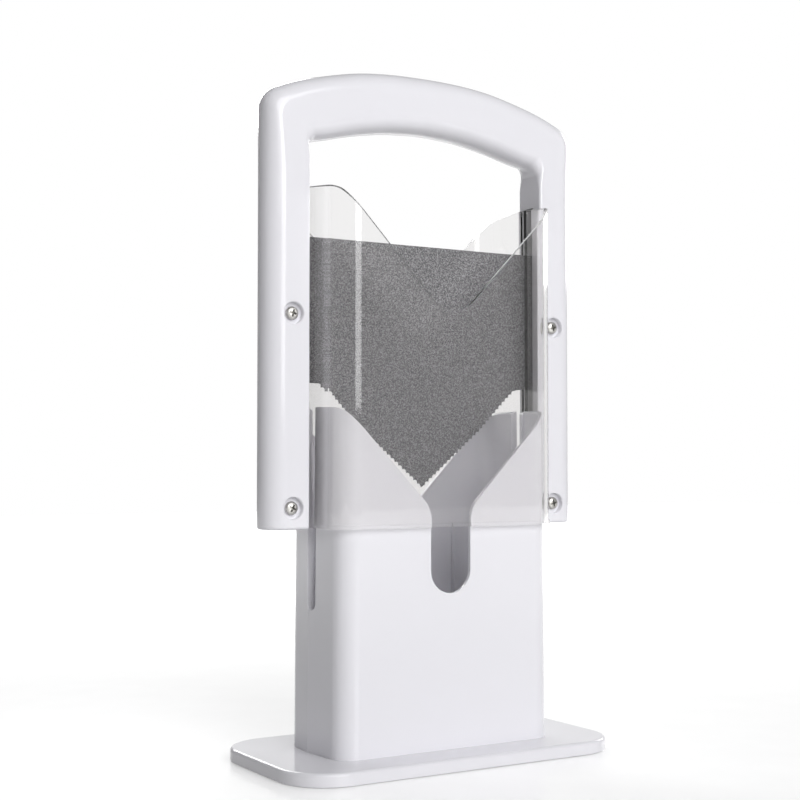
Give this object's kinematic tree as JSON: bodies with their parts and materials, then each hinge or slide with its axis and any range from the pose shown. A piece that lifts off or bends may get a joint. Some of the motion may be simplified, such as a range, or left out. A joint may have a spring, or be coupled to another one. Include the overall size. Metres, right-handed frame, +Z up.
{
  "type": "bagel guillotine slicer",
  "caption": "Guillotine bagel slicer: V-mouthed holder on a base plate, with an arched handle, serrated V blade and clear shields that slide down over it.",
  "frame": {"origin": "centre of the underside of the base plate, on the surface the slicer stands on", "axes": "+Z up along the cutter's slide; -Y towards the front, where the handle screws are driven in; +X to the right, along the blade"},
  "size_m": [0.182, 0.0954, 0.3384],
  "materials": {
    "white_plastic": "smooth moulded, semi-gloss",
    "clear_plastic": "clear, polished",
    "coated_steel": "dark grey speckled non-stick coating",
    "bright_steel": "plated screw"
  },
  "bodies": {
    "holder": {"base_plate": "white_plastic", "holder_front_shell": "white_plastic", "holder_rear_shell": "white_plastic", "base_screw_front_left": "bright_steel", "base_screw_front_right": "bright_steel", "base_screw_rear_left": "bright_steel", "base_screw_rear_right": "bright_steel", "holder_screw_lower_left": "bright_steel", "holder_screw_lower_right": "bright_steel", "holder_screw_upper_left": "bright_steel", "holder_screw_upper_right": "bright_steel"},
    "cutter": {"handle_front_half": "white_plastic", "handle_rear_half": "white_plastic", "front_shield": "clear_plastic", "rear_shield": "clear_plastic", "blade": "coated_steel", "handle_screw_lower_left": "bright_steel", "handle_screw_lower_right": "bright_steel", "handle_screw_upper_left": "bright_steel", "handle_screw_upper_right": "bright_steel"}
  },
  "joints": [
    {"name": "cutter_slide", "type": "slide", "parent": "holder", "child": "cutter", "axis": [0, 0, 1], "range_m": [-0.106, 0.06]}
  ]
}
